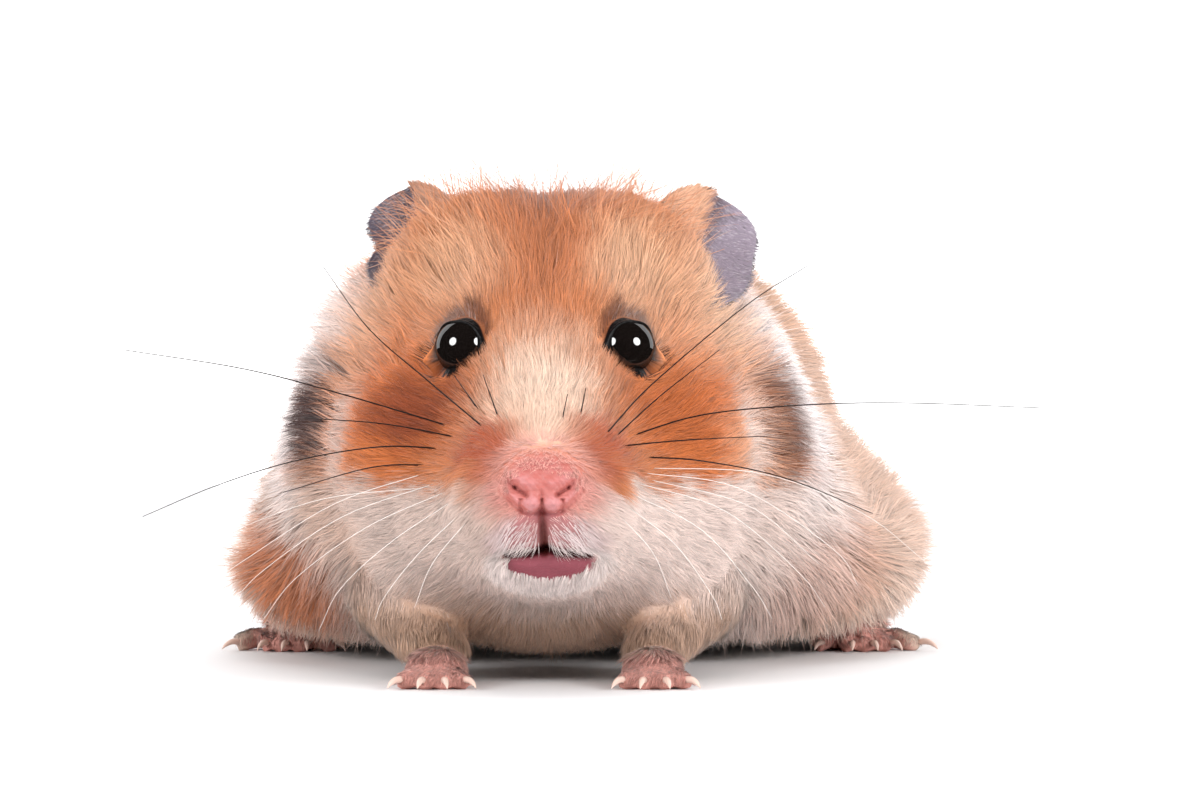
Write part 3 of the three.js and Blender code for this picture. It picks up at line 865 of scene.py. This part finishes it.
tips = roots + course * long[:, None]
free = on_ear(roots) | on_limb(roots) | (reach_back(roots) < 8.5)
low_lift = (0.12 + 0.14 * dice.random(count)) * long * (1 + lip_pads(roots)) * (1 - 0.5 * on_ear(roots))
low_lift = low_lift * (1 - 0.45 * nose_top(roots))
tips_free = tips + ups * low_lift[:, None]
level = -depth * (1 - rise) + 0.06 * long * (1 - ramp(reach_back(roots), 8, 22)) - socket(roots)
tips_body = settle(coat_gap, tips, 2, 3.0, level)
tips = np.where(free[:, None], tips_free, tips_body)
tips = tips + np.array([-0.85, -0.2, 0.5]) * (ruff(roots) * dice.uniform(0.5, 6.5, count))[:, None]

# Neighbouring hairs gather toward shared tips, which parts the coat into fine locks.
LOCK_HAIRS, GATHER = 9, 0.46
leaders = dice.choice(count, count // LOCK_HAIRS, replace=False)
tree_of_leaders = KDTree(len(leaders))
for i, index in enumerate(leaders):
    tree_of_leaders.insert(roots[index], i)
tree_of_leaders.balance()
leader_of = leaders[np.array([tree_of_leaders.find(root)[1] for root in roots])]
gather = GATHER * (1 - free)
tips = tips + (tips[leader_of] - tips) * gather[:, None]
# A few fine guard hairs stand up out of the coat, most on the crown, and some are dark.
crown = ramp(roots[:, 2], 40, 47) * (1 - ramp(roots[:, 1], 26, 40))
chance = (0.012 + 0.1 * crown) * (1 - lip_pads(roots)) * ramp(reach_back(roots), 14, 24) * (1 - free)
guard = dice.random(count) < chance
stray = dice.uniform(0.4, 1.9, count)
wisp = swayed(course, ups, crown * (0.9 * ripple(roots, 7, 1) + 0.5 * np.sign(roots[:, 0])))
loose = wisp * ((0.3 + 1.0 * crown) * long * stray)[:, None]
loose = loose + ups * (0.5 * depth + 0.4 + crown * stray)[:, None]
tips = np.where(guard[:, None], tips + loose, tips)
wide = np.where(guard, 0.55 * wide, wide)
tips[:, 2] = np.maximum(tips[:, 2], 0.25)
dark = (dice.random(count) < 0.06) & (roots[:, 1] < 30) & (roots[:, 2] > 23)
dark = dark & (reach_back(roots) > 11) & ~free
wide = np.where(dark, 0.75 * wide, wide)
# A lock takes its colour halfway along, except close to the bare parts of the face.
shift = 0.5 * long * ramp(reach_back(roots), 10, 20) * ramp(from_eye(roots), 4, 8) * (1 - free)
seen = roots + course * shift[:, None]
blur = ramp(reach_back(roots), 4, 12) * (1 - 0.8 * on_ear(roots)) * ramp(from_eye(roots), 3.4, 5)
colour = markings_and_painted_light(seen + dice.normal(0, 0.45, (count, 3)) * blur[:, None])
pads = lip_pads(roots)[:, None]
colour = colour + (to_linear((232, 212, 210)) - colour) * pads
below_lip = np.linalg.norm((roots - (0.6, -15.5, 12.6)) / (6.2, 6, 2.6), axis=1)
colour = colour + (to_linear((236, 220, 214)) - colour) * (0.9 * (1 - ramp(below_lip, 0.9, 1.2)))[:, None]
colour = colour + (to_linear((232, 166, 154)) - colour) * (0.85 * nose_top(roots))[:, None]
shorn = (on_grey(roots) * dice.random(count))[:, None]
colour = colour + (to_linear((214, 207, 214)) - colour) * 0.5 * shorn
tone = 0.58 + 0.76 * (0.6 * dice.random(count) + 0.4 * dice.random(count)[leader_of])
tone = np.where(reach_back(roots) < 9, 0.5 + 0.5 * tone, tone)
tone = np.where(on_grey(roots), 1 + 1.5 * (tone - 1), tone)
tone = np.where(dark, 0.55 * tone, tone)


def hair_unwrap(p):
    """Unwraps the body round its length: turn about the middle, and distance from the nose."""
    x = p[:, 0] - side_shift(p[:, 1])
    high = p[:, 2] - np.interp(p[:, 1], [-15, 20, 60, 100], [20, 27, 24, 18])
    around = np.arctan2(x, -high) / (2 * math.pi) + 0.5
    out = np.hypot(x, high)
    tail_end = ramp(p[:, 1], 45, 90)
    along = p[:, 1] + 21 + out * (1 - 2 * tail_end) + 52 * tail_end
    return np.stack([around, along / 160], axis=1)


coat_stuff = marked_stuff("coat", {
    "Roughness": 0.62,
    "Specular IOR Level": 0.2,
    "Sheen Weight": 0.25,
    "Sheen Roughness": 0.5,
})

RING = np.array([[-0.5, 0.0], [0.5, 0.0], [0.0, 0.42]])  # section of a lock at its foot, in widths
ROOTED = 0.08  # how deep the foot lies under the skin
HAIR_SCATTER = 0.21
PATCH = 0.003  # width of a lock's place in the map


def grow(name, pick):
    """One piece of the coat, from the chosen locks."""
    root, up, way, tip = roots[pick], ups[pick], course[pick], tips[pick]
    side = np.cross(way, up)
    size = wide[pick]
    turns = dice.uniform(-0.5, 0.5, len(root))
    ring_side = side * np.cos(turns)[:, None] + up * np.sin(turns)[:, None]
    ring_up = up * np.cos(turns)[:, None] - side * np.sin(turns)[:, None]
    foot = root - up * ROOTED
    points = [foot + ring_side * (size * x)[:, None] + ring_up * (size * z)[:, None] for x, z in RING] + [tip]
    faces = [(0, 1, 2)] + [(i, 3, j) for i, j in ((0, 1), (1, 2), (2, 0))]
    along = [0, 0, 0, 1]
    each, n = len(points), len(root)
    verts = np.stack(points, axis=1).reshape(-1, 3)
    tris = (np.array(faces)[None] + (np.arange(n) * each)[:, None, None]).reshape(-1, 3)
    mesh = bpy.data.meshes.new(name)
    mesh.vertices.add(len(verts))
    mesh.loops.add(tris.size)
    mesh.polygons.add(len(tris))
    mesh.loops.foreach_set("vertex_index", tris.ravel().astype(np.int32))
    mesh.polygons.foreach_set("loop_start", np.arange(0, tris.size, 3, dtype=np.int32))
    write_points(mesh, verts)
    mesh.update(calc_edges=True)
    along = np.tile(along, n)
    shade = np.repeat(tone[pick], each) * (0.9 + 0.2 * along)
    add_colour(mesh, "markings_and_painted_light", np.repeat(colour[pick], each, axis=0) * shade[:, None])
    mesh.materials.append(coat_stuff)
    place = hair_unwrap(root)
    low_uv, high_uv = place.min(axis=0), place.max(axis=0)
    place = 0.01 + 0.98 * (place - low_uv) / (high_uv - low_uv)
    patch = []
    for k in range(each):
        spread = PATCH / 2 if k < 3 else 0
        angle = 2 * math.pi * k / 3
        patch.append(place + (spread * math.cos(angle), spread * math.sin(angle)))
    patch = np.stack(patch, axis=1).reshape(-1, 2)
    layer = mesh.uv_layers.new(name="OFBake")
    layer.uv.foreach_set("vector", patch[tris.ravel()].astype(np.float32).ravel())
    mesh.polygons.foreach_set("use_smooth", np.ones(len(tris), dtype=bool))
    turned_by = np.repeat(dice.normal(size=(n, 3)), each, axis=0)
    normals = unit(np.repeat(up, each, axis=0) + HAIR_SCATTER * turned_by)
    mesh.normals_split_custom_set_from_vertices(normals)
    piece = bpy.data.objects.new(name, mesh)
    bpy.context.scene.collection.objects.link(piece)
    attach(piece, "root")


back = roots[:, 1] + 0.25 * (24 - roots[:, 2])
reach = reach_back(roots)
left = roots[:, 0] >= side_shift(roots[:, 1])
bands = [
    ("muzzle", reach < 13, "coat_white"),
    ("face", (reach >= 13) & (reach < 24), "coat_ginger"),
    ("brow", (reach >= 24) & (reach < 34) & (back < 24), "coat_ginger"),
    ("crown", (reach >= 34) & (back < 24), "coat_ginger"),
    ("nape", (reach >= 24) & (back >= 24) & (back < 40), "coat_ginger"),
    ("shoulder", (back >= 40) & (back < 62), "coat_tan"),
    ("flank", (back >= 62) & (back < 88), "coat_tan"),
    ("rump", back >= 88, "coat_tan"),
]
for band, where, slot in bands:
    for side, half in (("left", left), ("right", ~left)):
        grow(f"coat_{band}_{side}", np.flatnonzero(where & half))

# ---------------------------------------------------------------------------
# Whiskers. Long stiff hairs in rows on both sides of the muzzle. The upper ones
# are black, and the lower ones are white and hang down. Each is a fine tapered rod.
# ---------------------------------------------------------------------------
def front_skin(places):
    """The skin straight behind places in front of the face."""
    p = np.array([(x, -30.0, z) for x, z in places])
    for _ in range(40):
        p[:, 1] += np.maximum(0.7 * skin_gap(p), 0)
    return p


def smooth_path(knots, steps):
    """A curve through a few points, evenly stepped."""
    knots = np.array(knots, dtype=float)
    padded = np.vstack([2 * knots[0] - knots[1], knots, 2 * knots[-1] - knots[-2]])
    spans = np.linspace(0, len(knots) - 1, steps)
    path = []
    for s in spans:
        k = min(int(s), len(knots) - 2)
        t = s - k
        a, b, c, d = padded[k:k + 4]
        bow, twist = 2 * a - 5 * b + 4 * c - d, 3 * b - a - 3 * c + d
        path.append(0.5 * (2 * b + (c - a) * t + bow * t * t + twist * t ** 3))
    return np.array(path)


def add_rod(bm, path, radii, sides):
    """A tapered rod along a path, closed at both ends."""
    rod = bmesh.new()
    bmesh.ops.create_cone(rod, cap_ends=True, segments=sides, radius1=1, radius2=1, depth=1)
    upright = [e for e in rod.edges if abs(e.verts[0].co.z - e.verts[1].co.z) > 0.5]
    bmesh.ops.subdivide_edges(rod, edges=upright, cuts=len(path) - 2)
    way = np.gradient(path, axis=0)
    way /= np.linalg.norm(way, axis=1, keepdims=True)
    across = np.cross(way, (0.0, 0.0, 1.0))
    across /= np.maximum(np.linalg.norm(across, axis=1, keepdims=True), 1e-6)
    over = np.cross(across, way)
    for v in rod.verts:
        k = round((v.co.z + 0.5) * (len(path) - 1))
        at = path[k] + radii[k] * (v.co.x * across[k] + v.co.y * over[k])
        v.co = (at + HEAD_AT) / 1000
    rod_mesh = bpy.data.meshes.new("rod")
    rod.to_mesh(rod_mesh)
    rod.free()
    bm.from_mesh(rod_mesh)
    bpy.data.meshes.remove(rod_mesh)


# Places that each whisker passes, from root to tip: across and up, as seen from in front.
DARK_WHISKERS = [
    [(-9.0, 26.2), (-20.0, 29.5), (-30.1, 32.1), (-42.8, 34.1)],
    [(-5.9, 26.2), (-11.6, 31.0), (-17.4, 36.1), (-22.0, 42.3)],
    [(-6.4, 27.8), (-9.0, 31.5)],
    [(-10.0, 24.1), (-16.5, 24.3), (-25.0, 22.9), (-33.0, 20.4), (-40.7, 17.2)],
    [(-11.5, 22.5), (-17.5, 22.2), (-26.3, 19.7)],
    [(-4.4, 27.0), (-6.0, 31.5)],
    [(-8.4, 25.2), (-16.0, 26.6), (-24.0, 27.2)],
    [(8.4, 25.3), (15.8, 27.5), (26.0, 28.5), (36.5, 28.7), (50.5, 28.2)],
    [(6.1, 25.5), (10.7, 30.5), (20.0, 38.3), (26.3, 42.4)],
    [(9.6, 23.3), (15.8, 22.9), (24.1, 21.2), (33.0, 17.6)],
    [(7.0, 25.2), (11.6, 29.4), (17.5, 34.0)],
    [(7.6, 24.4), (14.0, 25.0), (22.0, 25.4)],
    [(1.8, 26.8), (2.4, 29.6)],
    [(3.6, 27.2), (4.2, 30.2)],
]
WHITE_WHISKERS = [
    [(-11.5, 21.8), (-21.0, 18.6), (-30.0, 13.0), (-33.5, 10.6)],
    [(-10.5, 20.8), (-20.0, 17.4), (-28.0, 12.0), (-31.5, 8.4)],
    [(-9.5, 20.0), (-17.5, 16.4), (-24.5, 11.4), (-28.0, 7.0)],
    [(-9.0, 19.0), (-15.0, 15.0), (-20.0, 10.4), (-22.2, 6.2)],
    [(-8.0, 18.0), (-12.5, 13.6), (-15.6, 9.6), (-16.5, 7.4)],
    [(-7.2, 17.4), (-10.8, 13.0), (-12.6, 8.6)],
    [(-12.0, 20.2), (-22.5, 19.0), (-33.0, 15.2)],
    [(9.5, 21.8), (19.5, 20.2), (29.0, 14.0), (31.4, 10.4)],
    [(9.2, 20.8), (18.0, 18.0), (25.4, 11.8), (28.0, 8.4)],
    [(8.6, 19.8), (15.6, 16.2), (20.6, 10.6), (22.6, 7.4)],
    [(8.0, 18.8), (13.0, 14.8), (16.6, 9.8), (17.6, 7.4)],
    [(7.4, 17.8), (10.8, 14.0), (12.6, 9.6)],
    [(10.2, 22.2), (22.0, 21.6), (32.0, 17.6), (38.5, 12.6)],
    [(10.0, 21.2), (20.5, 18.4), (27.5, 12.6)],
]
for name, rows, thick, tint in (
    ("whiskers_dark", DARK_WHISKERS, 0.085, (34, 22, 20)),
    ("whiskers_white", WHITE_WHISKERS, 0.034, (238, 230, 224)),
):
    bm = bmesh.new()
    for row, root in zip(rows, front_skin([row[0] for row in rows])):
        knots = [root + (0, 0.3, 0)]
        for x, z in row[1:]:
            away = math.hypot(x - root[0], z - root[2])
            sweep = root[1] - 0.10 * away + 0.0065 * away * away
            knots.append((x, sweep, z))
        path = smooth_path(knots, 6 + 4 * len(row))
        radii = thick * (1 - 0.55 * np.linspace(0, 1, len(path)))
        add_rod(bm, path, radii, 6)
    bmesh.ops.recalc_face_normals(bm, faces=bm.faces)
    stuff = new_stuff(name, {"Base Color": (*to_linear(tint), 1), "Roughness": 0.35})
    hairs = new_object(name, bm, stuff)
    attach(hairs, "root")

# ---------------------------------------------------------------------------
# Claws. Pale horn, one on each toe, curved down to the floor.
# ---------------------------------------------------------------------------
horn = new_stuff("claw_horn", {"Base Color": (*to_linear((226, 196, 182)), 1), "Roughness": 0.3})
CLAW_LONG = 2.3
CLAW_RADII = np.array([0.34, 0.36, 0.35, 0.33, 0.29, 0.24, 0.17, 0.1, 0.03])  # from toe to point
for front, (x, y, turn, radii, toe, reach, spread) in zip(("foreclaw", "hindclaw"), PAWS):
    for side, sign in (("left", 1), ("right", -1)):
        bm = bmesh.new()
        for angle in spread:
            start = radii[1] * TOES_FROM + reach + toe * 0.45
            knots = []
            for along, high in ((0, 0.95), (0.45, 1.0), (0.8, 0.66), (1.0, 0.25)):
                dx, dy = turned(0, -(start + along * (CLAW_LONG + 0.5 * toe)), angle + turn)
                knots.append(((x + dx) * sign + float(side_shift(y)), y + dy, toe * high))
            path = smooth_path(knots, len(CLAW_RADII))
            add_rod(bm, path, CLAW_RADII, 10)
        bmesh.ops.recalc_face_normals(bm, faces=bm.faces)
        claws = new_object(f"{front}s_{side}", bm, horn)
        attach(claws, "root")
        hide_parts(*[f"{front}_{side}_{i + 1}" for i in range(len(spread))])

# ---------------------------------------------------------------------------
# Camera, floor and light.
# ---------------------------------------------------------------------------
SENSOR = 36
FOCAL = 4410 / 1200  # length of the lens in widths of the sensor
CAMERA_AT = np.array([5.6, -450, 29])
camera_data = bpy.data.cameras.new("camera")
camera_data.sensor_width = SENSOR
camera_data.lens = SENSOR * FOCAL
camera_data.clip_start = 0.01
camera = bpy.data.objects.new("camera", camera_data)
bpy.context.scene.collection.objects.link(camera)
camera.location = Vector((HEAD_AT + CAMERA_AT) / 1000)
camera.rotation_euler = (math.radians(90), 0, 0)
bpy.context.scene.camera = camera

bm = bmesh.new()
bmesh.ops.create_grid(bm, x_segments=1, y_segments=1, size=2)
floor_white = new_stuff("floor_white", {"Base Color": (0.86, 0.86, 0.87, 1), "Roughness": 0.7})
floor = new_object("floor", bm, floor_white)


def soft_box(name, place, look, size, power):
    data = bpy.data.lights.new(name, "AREA")
    data.shape = "ELLIPSE"
    data.size, data.size_y = size
    data.energy = power
    box = bpy.data.objects.new(name, data)
    bpy.context.scene.collection.objects.link(box)
    box.location = place
    box.rotation_euler = (Vector(look) - Vector(place)).to_track_quat("-Z", "Y").to_euler()


# Two large soft boxes stand in front, left and right of the camera, and one hangs above.
BOX_AWAY, BOX_UP = 0.6, math.radians(18)
for name, turn, power in (("left_box", -47, 1.9), ("right_box", 47, 2.3)):
    place = (
        BOX_AWAY * math.sin(math.radians(turn)) * math.cos(BOX_UP),
        -BOX_AWAY * math.cos(math.radians(turn)) * math.cos(BOX_UP),
        0.03 + BOX_AWAY * math.sin(BOX_UP),
    )
    soft_box(name, place, (0, -0.06, 0.03), (0.28, 0.28), power)
soft_box("top_box", (0, 0.1, 0.8), (0, 0, 0.03), (0.7, 0.7), 2.4)
bpy.data.objects["top_box"].visible_glossy = False
floor.visible_glossy = False

bm = bmesh.new()
bmesh.ops.create_grid(bm, x_segments=1, y_segments=1, size=1)
bmesh.ops.rotate(bm, verts=bm.verts, matrix=Matrix.Rotation(math.radians(90), 3, "X"))
bmesh.ops.scale(bm, verts=bm.verts, vec=(2, 1, 1))
bmesh.ops.translate(bm, verts=bm.verts, vec=(0, 1.0, 0.99))
glow = new_stuff("backdrop_white", {
    "Base Color": (0.9, 0.9, 0.9, 1),
    "Emission Color": (1, 1, 1, 1),
    "Emission Strength": 0.9,
})
backdrop = new_object("backdrop", bm, glow)

world = bpy.data.worlds.new("studio")
bpy.context.scene.world = world
world.use_nodes = True
world.node_tree.nodes["Background"].inputs["Color"].default_value = (1, 1, 1, 1)
world.node_tree.nodes["Background"].inputs["Strength"].default_value = 0.75
world.cycles_visibility.glossy = False
bpy.context.scene.view_settings.view_transform = "Standard"
